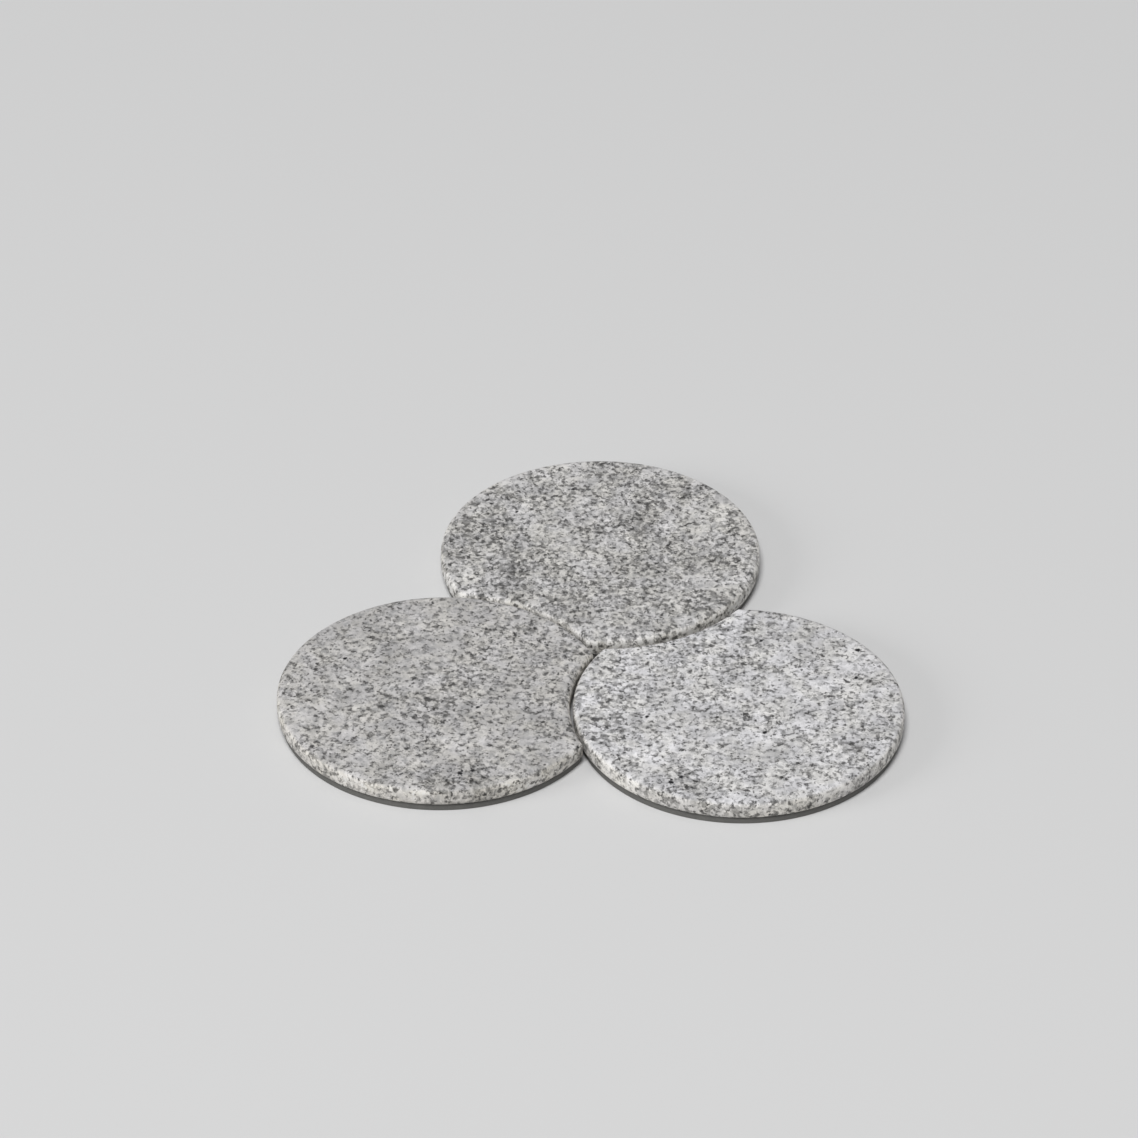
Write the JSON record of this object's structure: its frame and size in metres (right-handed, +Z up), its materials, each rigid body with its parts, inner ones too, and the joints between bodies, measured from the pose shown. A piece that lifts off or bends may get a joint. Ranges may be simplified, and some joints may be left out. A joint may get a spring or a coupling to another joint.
{
  "type": "nesting drink coasters",
  "caption": "Round granite drink coasters on thin rubber pads, each with a curved bite in its rim that the rim of the next one nests in.",
  "frame": {"origin": "on the table, in the middle of the set's bounding box", "axes": "+X from the left coaster's centre towards the right coaster's, +Y towards the back coaster, +Z up"},
  "size_m": [0.1898, 0.179, 0.008],
  "materials": {
    "left_granite": "honed",
    "right_granite": "honed",
    "back_granite": "honed",
    "rubber": "matte",
    "adhesive": "satin"
  },
  "bodies": {
    "left_coaster": {"left_granite_disc": "left_granite", "left_adhesive_sheet": "adhesive", "left_rubber_pad": "rubber"},
    "right_coaster": {"right_granite_disc": "right_granite", "right_adhesive_sheet": "adhesive", "right_rubber_pad": "rubber"},
    "back_coaster": {"back_granite_disc": "back_granite", "back_adhesive_sheet": "adhesive", "back_rubber_pad": "rubber"}
  },
  "joints": [
    {"name": "right_coaster_slide", "type": "slide", "parent": "left_coaster", "child": "right_coaster", "axis": [0.866, -0.5, 0], "range_m": [0, 0.06]},
    {"name": "back_coaster_slide", "type": "slide", "parent": "left_coaster", "child": "back_coaster", "axis": [0, 1, 0], "range_m": [0, 0.06]}
  ]
}
